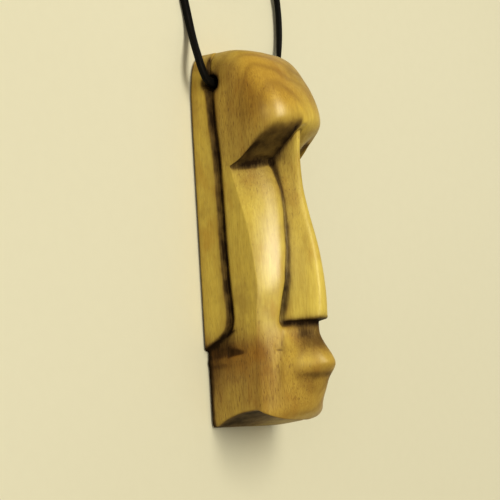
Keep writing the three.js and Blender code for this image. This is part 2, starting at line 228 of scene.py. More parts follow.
LACE_WIDTH = 1.9
LACE_THICKNESS = 1.4
LACE_LEAN = math.radians(35)
LACE_SIDES = 16
LACE_SPACING = 0.7  # between the sections along it
LACE_SQUARENESS = 2.8
HOLE_HEIGHT = 33.0
HOLE_DEPTH = 5.1
HOLE_RADIUS = 1.7
LEFT_ROUTE = [
    (0, 33, 5.1), (-6, 33, 5.1), (-10.2, 33, 5.1), (-12.6, 33.7, 5.1), (-14, 36.2, 4.9),
    (-13.7, 38.9, 3.9), (-12.8, 41.8, 2.5), (-12.1, 45, 1.3), (-12.3, 48.4, 0.8),
    (-13.1, 51.6, 0.75), (-13.8, 55.2, 0.75), (-13.8, 59, 0.85), (-13, 62.6, 1.1),
    (-12, 65.6, 1.35), (-11.4, 68, 1.5),
]
RIGHT_ROUTE = [
    (0, 33, 5.1), (6, 33, 5.1), (10.2, 33, 5.1), (12.7, 33.7, 5.1), (14.8, 36, 4.7),
    (17.2, 38.9, 3.3), (19.6, 41.8, 1.8), (21.3, 45, 0.95), (22.1, 48.6, 0.75),
    (22.3, 52.6, 0.75), (22, 56.6, 0.85), (21, 60.6, 1.3), (19.6, 64.4, 2.1),
    (18.4, 68, 2.9),
]
COIL_X = 3.5
COIL_Y = 71.0
COIL_MIDDLE = 10.5  # radius of the middle of the turns
COIL_COLUMNS = 4
COIL_LIFT = 0.8  # the lowest turns rest on the thread that ties them
COIL_OUTER = COIL_MIDDLE + COIL_COLUMNS * LACE_WIDTH / 2
COIL_INNER = COIL_MIDDLE - COIL_COLUMNS * LACE_WIDTH / 2
COIL_TOP = COIL_LIFT + 2 * LACE_THICKNESS
POINTS_A_TURN = 36
JOG_START = 300.0  # degrees round each turn, from its left side, where it moves to the next place
JOG_END = 340.0


def coil_points():
    """Two layers of turns, run clockwise from the left side: inwards below, then outwards on top."""
    lower = COIL_LIFT + LACE_THICKNESS / 2
    radii = [COIL_OUTER - (column + 0.5) * LACE_WIDTH for column in range(COIL_COLUMNS)]
    places = [(radius, lower) for radius in radii]
    places += [(radius, lower + LACE_THICKNESS) for radius in reversed(radii)]
    points = []
    for turn, here in enumerate(places):
        there = places[min(turn + 1, len(places) - 1)]
        last = turn == len(places) - 1
        for step in range(POINTS_A_TURN // 2 if last else POINTS_A_TURN):
            degrees = 360 * step / POINTS_A_TURN
            share = float(rising(degrees, JOG_START, JOG_END))
            radius = lerp(here[0], there[0], share)
            angle = math.radians(180 - degrees)
            points.append((
                COIL_X + radius * math.cos(angle),
                COIL_Y + radius * math.sin(angle),
                lerp(here[1], there[1], share),
            ))
    points.append((COIL_X + radii[0], COIL_Y, lower + LACE_THICKNESS))
    return points


def lace():
    coil = coil_points()
    path = catmull_rom(LEFT_ROUTE + coil + RIGHT_ROUTE[::-1], LACE_SPACING)
    steps = np.linalg.norm(np.diff(path, axis=0), axis=1)
    along = np.concatenate([[0], np.cumsum(steps)])
    length = along[-1]
    uneven = 1 + 0.03 * perlin(np.outer(along, [1, 0, 0]), (9, 9, 9))
    # The right strand leans over between the hole and the coil, and is pinched near the hole.
    from_end = length - along
    lean = rising(from_end, 13, 18) * falling(from_end, 36, 52)
    pinch = 1 - 0.45 * bell(from_end, 22, 5)
    path[:, 2] += 0.35 * lean
    size = uneven * pinch
    piece = swept(
        "leather_lace", path, LACE_WIDTH * size, LACE_THICKNESS * size, LACE_LEAN * lean,
        LACE_SIDES, LACE_SQUARENESS,
    )
    corner = np.abs(np.sin(2 * (np.arange(LACE_SIDES) + 0.5) / LACE_SIDES * 2 * math.pi))
    set_attribute(piece, "edge", np.tile(corner, len(path)))
    set_attribute(piece, "along", np.repeat(along, LACE_SIDES))
    return piece, path, length


def declare_lace(piece):
    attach(piece, "root")
    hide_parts("lace", "lace_coil")


# ---- The knot that joins the lace's ends, and the thread round the coil ----

KNOT_WIDTH = 5.2
KNOT_DEPTH = 3.8
KNOT_HEIGHT = 3.4
KNOT_GAP = 0.3
KNOT_STRAND = 1.35  # the lace is drawn thin in the knot
KNOT_SIDES = 12
KNOT_SQUARENESS = 2.3
# Where each cut end runs, from the middle of the knot outwards.
KNOT_TAIL = [(1.2, 0.3, -0.3), (3.2, 0.7, -0.75), (5.4, 0.2, -0.95), (7.4, 0.6, -0.95)]
TIE_ANGLE = math.radians(65)
TIE_THREAD = 0.5
TIE_TURNS = 4


def knot():
    """A tight overhand knot of the lace, with its two cut ends beside it."""
    middle = np.array([COIL_X, COIL_OUTER + KNOT_GAP + KNOT_DEPTH / 2 + COIL_Y, KNOT_HEIGHT / 2])
    t = np.linspace(0, 2 * math.pi, 90, endpoint=False)
    loops = np.stack([
        np.sin(t) + 2 * np.sin(2 * t),
        np.cos(t) - 2 * np.cos(2 * t),
        -np.sin(3 * t),
    ], axis=1)
    low = loops.min(0)
    high = loops.max(0)
    room = np.array([KNOT_WIDTH, KNOT_DEPTH, KNOT_HEIGHT]) - KNOT_STRAND
    loops = (loops - (low + high) / 2) / (high - low) * room
    loops = np.vstack([loops, loops[:1]]) + middle
    ring = swept("lace_knot", loops, KNOT_STRAND, KNOT_STRAND, 0, KNOT_SIDES, KNOT_SQUARENESS)
    ends = []
    for side in (-1, 1):
        tail = catmull_rom([middle + (side * x, y, z) for x, y, z in KNOT_TAIL], 0.5)
        ends.append(swept(
            "lace_end", tail, LACE_WIDTH * 0.9, LACE_THICKNESS * 0.9, 0, KNOT_SIDES, LACE_SQUARENESS
        ))
    joined = join(ring, ends)
    set_attribute(joined, "edge", np.full(len(joined.data.vertices), 0.4))
    set_attribute(joined, "along", np.array([v.co.x for v in joined.data.vertices]) / MM)
    return joined


def join(piece, others):
    """Adds the others' meshes to a piece, and removes them."""
    target = bmesh.new()
    for source in (piece, *others):
        target.from_mesh(source.data)
    target.to_mesh(piece.data)
    target.free()
    for other in others:
        bpy.data.objects.remove(other)
    return piece


def tie():
    """Turns of waxed thread round the bundle, side by side, with a small flat knot on top."""
    r = TIE_THREAD / 2
    inner = COIL_INNER - r - 0.1
    outer = COIL_OUTER + r + 0.1
    bottom = r
    top = COIL_TOP + r + 0.05
    corner = 0.8
    # Down one side of the bundle: how far in from its face, and how high.
    side = [
        (corner, top), (corner * 0.3, top - corner * 0.3), (0, top - corner),
        (0, bottom + corner * 0.6), (corner * 0.2, bottom + corner * 0.12), (corner * 0.6, bottom),
    ]
    corners = [(outer - inwards, height) for inwards, height in side]
    corners += [(inner + inwards, height) for inwards, height in side[::-1]]
    points = []
    across = TIE_TURNS * TIE_THREAD
    total = TIE_TURNS * len(corners)
    for i in range(total + 1):
        radius, height = corners[i % len(corners)]
        points.append((radius, height, -across / 2 + across * i / total))
    line = catmull_rom(points, 0.35)
    out = np.array([math.cos(TIE_ANGLE), math.sin(TIE_ANGLE), 0])
    beside = np.array([-math.sin(TIE_ANGLE), math.cos(TIE_ANGLE), 0])
    centre = np.array([COIL_X, COIL_Y, 0])
    path = centre + line[:, :1] * out + line[:, 2:] * beside + line[:, 1:2] * [0, 0, 1]
    wraps = round_tube("thread_tie", path, TIE_THREAD)
    t = np.linspace(0, 2 * math.pi, 48, endpoint=False)
    bow = np.stack([1.5 * np.cos(t), 0.7 * np.sin(2 * t), 0.12 * np.cos(3 * t)], axis=1)
    bow = np.vstack([bow, bow[:1]])
    place = centre + COIL_MIDDLE * out + [0, 0, top + 0.2]
    crossing = place + bow[:, :1] * beside * 0.8 + bow[:, 1:2] * out + bow[:, 2:] * [0, 0, 1]
    knot_piece = round_tube("thread_knot", crossing, TIE_THREAD * 0.9)
    return join(wraps, [knot_piece])


def round_tube(name, path, thickness, sides=8):
    """A round tube along any path, its section carried along without twisting."""
    ahead = directions(path)
    side = np.cross(ahead[0], [0.3, 0.5, 0.81])
    angle = 2 * math.pi * np.arange(sides)[:, None] / sides
    rings = []
    for place, direction in zip(path, ahead):
        side = side - np.dot(side, direction) * direction
        side /= np.linalg.norm(side)
        other = np.cross(direction, side)
        rings.append(place + thickness / 2 * (np.cos(angle) * side + np.sin(angle) * other))
    return tube_object(name, np.vstack(rings), len(path), sides)


# ---- The head: curves over the height above the chin ----

HEIGHT = 80.0
SIDE_HALF = 11.2
EAR_PROUD = 1.15
GROOVE_WIDTH = 1.3
GROOVE_DEPTH = 0.55
BACK_EDGE_RADIUS = 0.8
NOSE_BOTTOM = 21.4
NOSE_LEDGE = 0.35
EAR_END_LOW = 16.2
EAR_END_SLOPE = 0.53
EAR_END_HIGH = EAR_END_LOW + EAR_END_SLOPE * 7.4
SOCKET_SIDE = 54.5
SOCKET_NOSE = 55.7
BROW_SLOPE = 1.06
BROW_ROUNDNESS = 2.9
MUZZLE_ROUNDNESS = 1.7
LIPS_HEIGHT = 12.4
LIPS_RISE = 2.8
LIPS_BELOW = 2.4  # how far the lips' ridge reaches down and up
LIPS_ABOVE = 3.8
LIPS_HALF = 8.2
LIPS_DROOP = 0.02
CHEEK_ARCH = 2.1
SCOOP_HEIGHT = 15.3
SCOOP_DEPTH = 0.6
SCOOP_LIP_BELOW = 1.7
SCOOP_LIP_RISE = 0.22
FAR_ARCH = 0.05  # the underside's arch is cut this share as deep on the right side
FAR_CORNER_RISE = 1.9  # the chin's corner is rounded off there
FAR_CORNER_NARROW = 0.05
FAR_CORNER_HEIGHT = 12
FAR_BROW_RISE = 1.8  # and the brow's end is higher
FAR_BROW_HEIGHT = 57.5
FAR_BROW_REACH = 3.2

side_half = curve(
    (0, SIDE_HALF - 0.5), (0.7, SIDE_HALF - 0.1), (2, SIDE_HALF), (60, SIDE_HALF), (70, SIDE_HALF - 0.1),
    (75, SIDE_HALF - 0.3), (77.2, SIDE_HALF - 0.8), (78.8, SIDE_HALF - 1.8), (79.6, SIDE_HALF - 2.7),
    (HEIGHT, SIDE_HALF - 3.3),
)
ear_proud = curve((0, EAR_PROUD), (70, EAR_PROUD), (76, 0.6 * EAR_PROUD), (HEIGHT, 0.4 * EAR_PROUD))
groove_size = curve((0, 1), (71, 1), (76, 0.45), (HEIGHT, 0.35))
ear_depth = curve(
    (16, 4.1), (19, 5.2), (20.7, 6.2), (22.6, 6.6), (25, 6.5), (29, 6.2), (38, 5.85), (47, 5.7),
    (56, 5.5), (64, 4.9), (70, 4.6), (HEIGHT, 4.5),
)
cheek_edge = curve(
    (0, 13.4), (3, 13.1), (6, 12.9), (15, 12.9), (19, 13), (23.3, 13.3), (28.1, 13.9), (34, 13.4),
    (37.7, 12.9), (42.6, 12), (47.6, 10.6), (SOCKET_SIDE, 8.7),
)
face_depth = curve(
    (0, 14.6), (1, 16), (3, 17.1), (10, 17.8), (16, 17.5), (NOSE_BOTTOM, 17), (25, 17.5), (31, 18.3),
    (36, 18.3), (41, 18), (45, 17.6), (49, 16.9), (53, 15.4), (56, 14),
)
face_roundness = curve((0, 2.3), (21, 2.2), (30, 2.2), (45, 1.9), (56, 1.6))
nose_depth = curve(
    (NOSE_BOTTOM, 22.4), (22.6, 22.8), (27, 22.85), (33, 22.4), (38.6, 21.45), (45, 19.95),
    (50.6, 18.95), (56.5, 18.8), (61.5, 19.2),
)
nose_half = curve((NOSE_BOTTOM, 5.2), (26, 4.8), (33, 4.3), (40, 3.8), (49, 3.3), (56, 3), (62, 2.6))
ridge_half = curve((NOSE_BOTTOM, 1.9), (27, 1.6), (35, 1.2), (50, 0.8), (62, 0.7))
nose_groove = curve((NOSE_BOTTOM, 1.1), (25.5, 1.1), (30, 0.8), (35, 0.5), (45, 0.3), (57, 0.2))
muzzle_depth = curve(
    (0, 14.6), (0.5, 15.7), (1.2, 17), (2.3, 18.5), (5.2, 20.2), (8.1, 21.5), (10.1, 21.8), (14, 21.1),
    (18.5, 20.9), (NOSE_BOTTOM, 20.7),
)
muzzle_half = curve((0, 8.5), (9, 8.3), (12, 8), (16, 7), (NOSE_BOTTOM, 5.6))
forehead_depth = curve(
    (SOCKET_SIDE, 20.7), (60, 21.4), (63.2, 21.75), (65.5, 21.55), (69.2, 20.4), (74.3, 17.6),
    (77, 15.8), (78.6, 14.1), (79.5, 12.5), (HEIGHT, 10.7),
)
forehead_edge = curve(
    (SOCKET_SIDE, 8.7), (60, 9.2), (65, 9.3), (70, 8.8), (75, 7.8), (78, 6.9), (HEIGHT, 6.4)
)
# Heights over the depth.
brow_edge = curve(
    (8.7, 54.7), (11.5, 55.7), (13.7, 57.3), (16.4, 60.2), (18.5, 62.1), (20.2, 63), (21.4, 63.2)
)
underside = curve(
    (0, 0), (1.2, 0.1), (4.3, 1.5), (8.8, 2.75), (11.5, 2.95), (13.8, 2.1), (15.9, 0.6), (17.2, 0.05),
    (24, 0),
)


def ledge_height(depth):
    """The line that carries the ears' lower ends and, in front, the nose's underside."""
    ear = EAR_END_LOW + EAR_END_SLOPE * np.clip(depth, 0, 7.4)
    return ear + (NOSE_BOTTOM - EAR_END_HIGH) * rising(depth, 7.4, 12.5)


# ---- The head: its sections ----

STEPS = {"back": 12, "edge": 6, "ear": 12, "groove": 14, "side": 18, "face": 44, "nose": 20, "ridge": 6}
ROWS = {"jaw": 72, "ledge": 5, "face": 92, "brow": 18, "forehead": 64}
JAW_CROWDING = 1.1  # rows lie closer together at the chin and at the head's top
TOP_CROWDING = 1.4
SETTLE_ROUNDS = 40
SETTLE_SHARE = 0.4


def columns():
    """For each stretch of half a section, its slice of the columns and their places along it."""
    found = {}
    start = 0
    for stretch, steps in STEPS.items():
        count = steps + (stretch == "ridge")
        found[stretch] = (slice(start, start + count), np.arange(count) / steps)
        start += count
    return found, start


COLUMNS, COLUMN_COUNT = columns()
NOSE_BASE = COLUMNS["nose"][0].start


def along(stretch):
    """How far each column lies along a stretch: 0 before it, 1 after it."""
    place, t = COLUMNS[stretch]
    result = np.zeros(COLUMN_COUNT)
    result[place] = t
    result[place.stop:] = 1
    return result


def superellipse(share, power):
    return np.maximum(0, 1 - np.minimum(1, share) ** power) ** (1 / power)


def cheek_profile(share, height):
    """An arch that leaves the edge of the face at a slope, and is steeper there over the jaw."""
    arch = 1 - np.minimum(1, share) ** CHEEK_ARCH
    rounded = superellipse(share, face_roundness(height))
    return lerp(rounded, arch, lerp(0.5, 1, rising(height, 12, NOSE_BOTTOM)))


def lips(x, height):
    """One ridge across the muzzle that runs out towards its sides."""
    middle = LIPS_HEIGHT - LIPS_DROOP * x ** 2
    reach = np.where(height < middle, LIPS_BELOW, LIPS_ABOVE)
    across = np.maximum(0, 1 - (x / LIPS_HALF) ** 2) ** 1.5
    return LIPS_RISE * across * bell(height, middle, reach)


def front_depth(x, height, zone, half, edge):
    if zone == "forehead":
        return edge + (forehead_depth(height) - edge) * superellipse(x / half, BROW_ROUNDNESS)

    def face(at):
        return edge + (face_depth(height) - edge) * cheek_profile(at / half, height)

    base = nose_half(height)
    groove = nose_groove(height)
    if zone == "jaw":
        bulge = np.maximum(0, 1 - (x / muzzle_half(height)) ** 2) ** MUZZLE_ROUNDNESS
        fade = groove * bell(x, base, 1) * rising(height, 19.2, NOSE_BOTTOM) * (1 - bulge)
        return face(x) + (muzzle_depth(height) - face_depth(height)) * bulge + lips(x, height) - fade
    cheek = face(x) - groove * bell(x, base, 1)
    ridge = ridge_half(height)
    start = face(base) - groove
    climb = clamp01((base - x) / (base - ridge)) ** 0.85
    crown = 0.3 * np.maximum(0, 1 - (x / ridge) ** 2)
    return np.where(x >= base, cheek, start + (nose_depth(height) - start) * climb + crown)


def section(height, zone):
    """Distance from the centre line and depth of every column at these heights, one row each."""
    x = np.zeros_like(height)
    z = np.zeros_like(height)
    edge_line = forehead_edge if zone == "forehead" else cheek_edge
    for stretch, (place, t) in COLUMNS.items():
        h = height[:, place]
        half = side_half(h)
        outer = half + (0 * h if zone == "jaw" else ear_proud(h))
        ear = ear_depth(h)
        groove_width = GROOVE_WIDTH * groove_size(h)
        groove_end = ear + groove_width
        edge = np.maximum(edge_line(h), groove_end + 0.3)
        base = nose_half(h)
        ridge = ridge_half(h)
        if stretch == "back":
            out, depth = t * (outer - BACK_EDGE_RADIUS), 0
        elif stretch == "edge":
            out = outer - BACK_EDGE_RADIUS * (1 - np.sin(t * math.pi / 2))
            depth = BACK_EDGE_RADIUS * (1 - np.cos(t * math.pi / 2))
        elif stretch == "ear":
            out, depth = outer, lerp(BACK_EDGE_RADIUS, ear, t)
        elif stretch == "groove":
            cut = GROOVE_DEPTH * groove_size(h) ** 2 * np.sin(math.pi * t ** 0.5)
            out = lerp(outer, half, rising(t, 0, 0.25)) - (0 if zone == "jaw" else cut)
            depth = ear + t * groove_width
        elif stretch == "side":
            depth = lerp(groove_end, edge, t)
            scoop = SCOOP_DEPTH * bell(h, SCOOP_HEIGHT, 1) * falling(depth, 6.5, 11.5)
            out = half - scoop if zone == "jaw" else half
        else:
            out = lerp(base, ridge, t)
            if stretch == "face":
                power = BROW_ROUNDNESS if zone == "forehead" else face_roundness(h)
                last = np.arccos((base / half) ** (power / 2))
                out = half * np.cos(t * last) ** (2 / power)
            elif stretch == "ridge":
                out = ridge * (1 - t)
            depth = front_depth(out, h, zone, half, edge)
        x[:, place] = out
        z[:, place] = depth
    return x, z


def settled(zone, height_at, count, start):
    """Rows of points at the heights that height_at(depth) settles on."""
    height = np.broadcast_to(np.reshape(start, (-1, 1)), (count, COLUMN_COUNT)).astype(float)
    for _ in range(SETTLE_ROUNDS):
        x, z = section(height, zone)
        height = lerp(height, height_at(z), SETTLE_SHARE)
    x, z = section(height, zone)
    return np.stack([x, height, z], axis=2)


def row_shares(zone, first=0, extra=0):
    """How far up a zone each of its rows lies, as a column."""
    return (np.arange(first, ROWS[zone] + extra) / ROWS[zone])[:, None]


def head_rows():
    t = row_shares("jaw", extra=1) ** JAW_CROWDING
    jaw = settled(
        "jaw", lambda z: lerp(underside(z), ledge_height(z) - NOSE_LEDGE, t), len(t), 20 * t
    )
    corner = SOCKET_SIDE - 0.4 * (1 - along("side")) + (SOCKET_NOSE - SOCKET_SIDE) * along("face")
    at_nose = settled("face", lambda z: corner + 0 * z, 1, SOCKET_NOSE)
    base_depth = at_nose[0, NOSE_BASE, 2]
    on_nose = np.arange(COLUMN_COUNT) > NOSE_BASE
    socket = settled(
        "face",
        lambda z: np.where(on_nose, SOCKET_NOSE + BROW_SLOPE * (z - base_depth), corner),
        1, SOCKET_NOSE,
    )
    t = row_shares("face")
    face = settled(
        "face", lambda z: lerp(ledge_height(z), socket[0, :, 1], t), len(t),
        lerp(NOSE_BOTTOM, SOCKET_NOSE, t),
    )
    brow = settled("forehead", lambda z: brow_edge(z) + 0.5 * (1 - along("side")), 1, 60)
    t = 1 - (1 - row_shares("forehead", extra=1)) ** TOP_CROWDING
    forehead = settled(
        "forehead", lambda z: lerp(brow[0, :, 1], HEIGHT, t), len(t), lerp(60, HEIGHT, t)
    )
    ledge = lerp(jaw[-1], face[0], row_shares("ledge", first=1)[:, None])
    under_brow = lerp(socket[0], brow[0], row_shares("brow")[:, None])
    return np.concatenate([jaw, ledge, face, under_brow, forehead])


def head_surface():
    """Points (mm) and faces of the head's closed surface."""
    half = head_rows()
    last = COLUMN_COUNT - 1
    around = 2 * last
    rings = np.concatenate([half * [-1, 1, 1], half[:, last - 1:0:-1]], axis=1)
    # The right side is cut unevenly: see the names that start with FAR.
    x, height, depth = np.moveaxis(rings, 2, 0)
    front = rising(depth, 8, 14)
    right = rising(x, -0.6 * SIDE_HALF, 0.6 * SIDE_HALF)
    arch = (1 - FAR_ARCH) * right * (1 - front) * underside(depth)
    fill = arch * clamp01(1 - height / EAR_END_LOW)
    corner = front * np.maximum(0, x / SIDE_HALF) ** 2.2
    rounding = corner * clamp01(1 - height / FAR_CORNER_HEIGHT) ** 2
    brow = FAR_BROW_RISE * rising(x, 3, 9) * bell(height, FAR_BROW_HEIGHT, FAR_BROW_REACH)
    rings[:, :, 0] = x * (1 - FAR_CORNER_NARROW * rounding)
    rings[:, :, 1] = height - fill + FAR_CORNER_RISE * rounding + brow - HEIGHT / 2
    count = len(rings)
    points = list(rings.reshape(-1, 3))
    faces = grid_faces(count, around)
    across = 2 * STEPS["back"]

    def cap(base, upward):
        def add(corners):
            faces.append(tuple(corners[::-1] if upward else corners))

        previous = [base + (STEPS["back"] - s) % around for s in range(across + 1)]
        for j in range(STEPS["back"] + 1, last):
            a = base + j
            b = base + around - j
            line = [a]
            for s in range(1, across):
                line.append(len(points))
                points.append(lerp(points[a], points[b], s / across))
            line.append(b)
            for s in range(across):
                add((previous[s], previous[s + 1], line[s + 1], line[s]))
            previous = line
        for s in range(across):
            add((previous[s], previous[s + 1], base + last))

    cap(0, False)
    cap((count - 1) * around, True)
    return np.array(points), faces


# ---- The head: hand finish on the mesh ----

def read_rows(elements, name, width, kind=float):
    values = np.zeros(len(elements) * width, kind)
    elements.foreach_get(name, values)
    return values.reshape(-1, width)


def mesh_arrays(piece):
    """The points (mm), edges and normals of a piece's mesh."""
    points = piece.data.vertices
    edges = read_rows(piece.data.edges, "vertices", 2, int)
    return read_rows(points, "co", 3) / MM, edges, read_rows(points, "normal", 3)


def neighbour_mean(places, edges):
    ends = np.concatenate([edges[:, 0], edges[:, 1]])
    others = np.concatenate([edges[:, 1], edges[:, 0]])
    number = np.bincount(ends, minlength=len(places))
    total = [np.bincount(ends, column[others], minlength=len(places)) for column in places.T]
    return np.stack(total, axis=1) / number[:, None]


def smoothed(places, edges, rounds, share):
    for _ in range(rounds):
        places = lerp(places, neighbour_mean(places, edges), share)
    return places


def set_places(piece, places):
    piece.data.vertices.foreach_set("co", (places * MM).astype(np.float32).ravel())
    piece.data.update()


def drill(piece):
    """Bores the lace's hole across the head."""
    bpy.ops.mesh.primitive_cylinder_add(
        vertices=48, radius=HOLE_RADIUS * MM, depth=40 * MM,
        location=(0, HOLE_HEIGHT * MM, HOLE_DEPTH * MM), rotation=(0, math.pi / 2, 0),
    )
    bore = bpy.context.object
    cut = piece.modifiers.new("hole", "BOOLEAN")
    cut.operation = "DIFFERENCE"
    cut.solver = "EXACT"
    cut.object = bore
    bpy.context.view_layer.objects.active = piece
    bpy.ops.object.modifier_apply(modifier=cut.name)
    bpy.data.objects.remove(bore)


def split(places):
    """Distance from the centre line, height above the chin and depth."""
    return np.abs(places[:, 0]), places[:, 1], places[:, 2]


# The long waves that the knife left, and the ripples on them: size along each axis, and height.
WAVES = (6, 11, 6)
WAVE_HEIGHT = 0.10
RIPPLES = (2.2, 5, 2.2)
RIPPLE_HEIGHT = 0.05
# Lumps: (x, height, depth), size along each axis, rise. A soft swelling on each side above the
# lips and a hollow under the nose:
FOLD = [
    ((6.6, 18.6, 17), (2.2, 1.8, 2.5), 0.2),
    ((2.5, 18.6, 20), (2.2, 1.6, 2.5), -0.3),
]
# Single knife marks and pits: a pit on the left jaw, nicks in the left socket and on the brow:
MARKS = [
    ((-8.3, 16.1, 16.3), (0.45, 0.7, 0.6), -0.45),
    ((-7.9, 15.2, 16.3), (0.7, 0.25, 0.6), -0.2),
    ((-6.3, 56.2, 13.6), (1.0, 0.35, 1.0), -0.35),
    ((-4.6, 56.0, 13.6), (0.9, 0.3, 1.0), -0.4),
    ((-3.4, 55.2, 13.8), (0.5, 0.9, 0.8), -0.4),
    ((-4.3, 62.6, 20.6), (0.5, 0.35, 0.8), -0.22),
    ((-2.6, 62.1, 20.3), (0.35, 0.5, 0.8), -0.25),
    ((-1.6, 61.5, 19.7), (0.6, 0.3, 0.6), -0.25),
    ((-8.4, 69.3, 17.6), (0.4, 0.6, 0.6), -0.12),
]


def carved_details(places):
    """How far the knife and the sanding moved each point along its normal, in mm."""
    x, v, z = split(places)
    wave = WAVE_HEIGHT * perlin(places, WAVES) + RIPPLE_HEIGHT * perlin(places, RIPPLES, 7.3)
    move = wave * (0.4 + 0.6 * rising(z, 8, 13)) * rising(z, 0.3, 1.5)
    mirrored = [((-place[0], *place[1:]), size, rise) for place, size, rise in FOLD]
    for place, size, rise in mirrored + FOLD + MARKS:
        move += rise * bell(places, place, size).prod(axis=1)
    # The scoop below the ear has a raised lip under it.
    jaw_side = rising(x, SIDE_HALF - 1.2, SIDE_HALF - 0.4)
    lip_height = SCOOP_HEIGHT - SCOOP_LIP_BELOW + 0.05 * z
    move += SCOOP_LIP_RISE * jaw_side * bell(v, lip_height, 0.7) * falling(z, 8, 12.5)
    return move


def stain_and_painted_shade_at(places, normals):
    """Dark stain in the cuts, and painted shade under the brow, the nose, the lips and the ears' ends,
    in the hole and on the underside: 0 to 1 at each point, as crisp lines and soft patches to be
    blurred.
    """
    left = -places[:, 0]
    x, v, z = split(places)
    # How far each point faces down, away from the light above: it drives painted shade under the brow.
    down = rising(-normals[:, 1], 0.12, 0.7)
    side = rising(x, SIDE_HALF - 2.4, SIDE_HALF - 0.8)
    ear = ear_depth(v)
    above_end = rising(v, ledge_height(z) - 0.6, ledge_height(z) + 0.4)
    past = np.maximum(0, z - ear + 0.1)
    groove = rising(z, ear - 0.5, ear - 0.15) * bell(past, 0, 0.9 * groove_size(v)) * side
    groove *= above_end * (0.87 - 0.14 * bell(v, 50, 8))
    wash = 0.26 * np.exp(-past / 1.6) * rising(z, ear, ear + 0.3) * side * above_end
    jaw_wash = 0.36 * bell(v, 15.5, 4.5) * falling(z, 4.5, 11) * side * (1 - above_end)
    rim_wash = 0.36 * bell(v, 10.5, 4.5) * falling(z, 1.5, 6) * side
    # Painted shade on the jaw's side just below the ear's lower end.
    corner = 0.75 * bell(v, 17.8, 1.6) * falling(z, 5.5, 9) * side * (1 - above_end)
    figure = 0.48 * bell(v, 66.5, 5.5) * bell(z, 13.6, 2.4)
    figure *= rising(x, SIDE_HALF - 3.5, SIDE_HALF - 1)
    # Painted shade along the underside of the ear's lower end.
    ear_end = bell(v, ledge_height(z) - 0.2, 0.45) * falling(z, 6.5, 8.5) * side
    base = nose_half(v)
    on_face = rising(z, 9.5, 12) * rising(v, 21.5, 23.5) * falling(v, 56, 59)
    crease = 0.12 + 0.4 * bell(v, 27.5, 4) + 0.6 * bell(v, 54, 4)
    nose = bell(x, base + 0.1, 0.5) * on_face * crease
    nose_low = 0.3 * bell(x, base + 0.2, 1.1) * on_face * bell(v, 27.5, 4)
    line = lerp(SOCKET_NOSE, SOCKET_SIDE, rising(x, 3, SIDE_HALF))
    across = rising(x, 2.6, 3.4) * (1 - side) * rising(z, 8, 10)
    socket = bell(v, line + 0.1, 0.55) * across
    # Painted shade on the face just below the brow's overhang, fading downwards.
    shade_below_brow = 0.34 * np.exp(-np.maximum(0, line - v) / 1.3) * (v < line + 0.3) * across
    shade_below_brow *= 1 - 0.7 * rising(x, 7, 9.5)
    # Painted shade on the brow's underside, where it faces down.
    in_brow = rising(v, 53.8, 55) * falling(v, 62.8, 64) * rising(z, 8.2, 9.6)
    brow = 0.76 * down * in_brow * rising(x, 0.9, 2.2) * (1 - 0.75 * rising(-left, 0, 3))
    above = np.maximum(0, v - brow_edge(z))
    brow_wash = 0.2 * np.exp(-above / 2.2) * (v > brow_edge(z) - 0.5) * rising(z, 8, 10)
    brow_wash *= falling(z, 16.5, 20) * rising(left, 1, 4)
    # Dark stain and painted shade under the brow at the nose's root.
    nose_top = 0.76 * rising(v, 54.5, 59) * falling(v, 63, 64.5) * rising(x, 1.0, 1.9)
    nose_top *= falling(x, base, base + 0.5) * rising(z, 12, 14) * (left > 0)
    # Painted shade on the nose's underside, and painted shadow cast below it onto the upper lip.
    nose_under = bell(v, NOSE_BOTTOM - 0.5, 0.8) * rising(z, 14.5, 16.5) * falling(x, 4.9, 6.2)
    below_nose = lerp(0.5, 0.42, rising(v, 17, 19)) * rising(v, 13.6, 15.4) * (v < NOSE_BOTTOM)
    below_nose *= falling(x, 3.4, 5.4) * rising(z, 17, 18.5)
    # Painted shade in the scoop below the ear.
    scoop = 0.5 * bell(v, SCOOP_HEIGHT + 0.5, 1.0) * side * falling(z, 6.5, 11)
    # Painted shade under the lips' ridge: a dark line, and a softer patch below it.
    lips = 0.45 * bell(v, 9.8, 0.7) * falling(x, 4.0, 7.0) * rising(z, 17, 19)
    under_lip = 0.36 * bell(v, 8.4, 1.3) * falling(x, 2.0, 5.0) * rising(z, 17, 19)
    # Painted shade inside the lace's hole, with dark stain at its rim.
    from_bore = np.hypot(v - HOLE_HEIGHT - HEIGHT / 2, z - HOLE_DEPTH) - HOLE_RADIUS
    bore = np.exp(-np.maximum(0, from_bore) / 0.55) * rising(x, 0, 9)
    jaw = falling(v, 15, 17)
    back_edge = (0.75 + 0.15 * jaw) * falling(z, 0.15 + 0.4 * jaw, 0.95 + 0.8 * jaw)
    back_edge *= rising(x, SIDE_HALF - 0.9, SIDE_HALF - 0.3)
    # Painted shade on the underside, which faces down: darkest on the left, paler to the right and at
    # the front.
    bottom = falling(v, underside(z) - 0.1, underside(z) + 0.25) * (v < 4)
    bottom *= lerp(0.2, 0.78, rising(left, -11, 10)) * (1 - 0.6 * rising(z, 15, 19))
    above_hole = 0.28 * bell(v, 77, 3.0) * bell(z, 7, 2.2) * side
    crisp = [groove, ear_end, nose, socket, nose_under, bore, back_edge, bottom, lips]
    soft_layers = [
        wash, jaw_wash, rim_wash, corner, figure, nose_low, shade_below_brow, brow, brow_wash, nose_top,
        below_nose, scoop, under_lip, above_hole,
    ]
    return layered(crisp), layered(soft_layers)


def layered(layers):
    """Layers of stain and painted shade over each other, each 0 to 1."""
    clear = 1.0
    for layer in layers:
        clear = clear * (1 - clamp01(layer))
    return 1 - clear


# How brown the wood is over the height, on the ears, the sides, the front and the nose, with painted
# light in it: painted shade on the sides, painted highlights on the cheeks and the brow.
EAR_TAN = 0.16
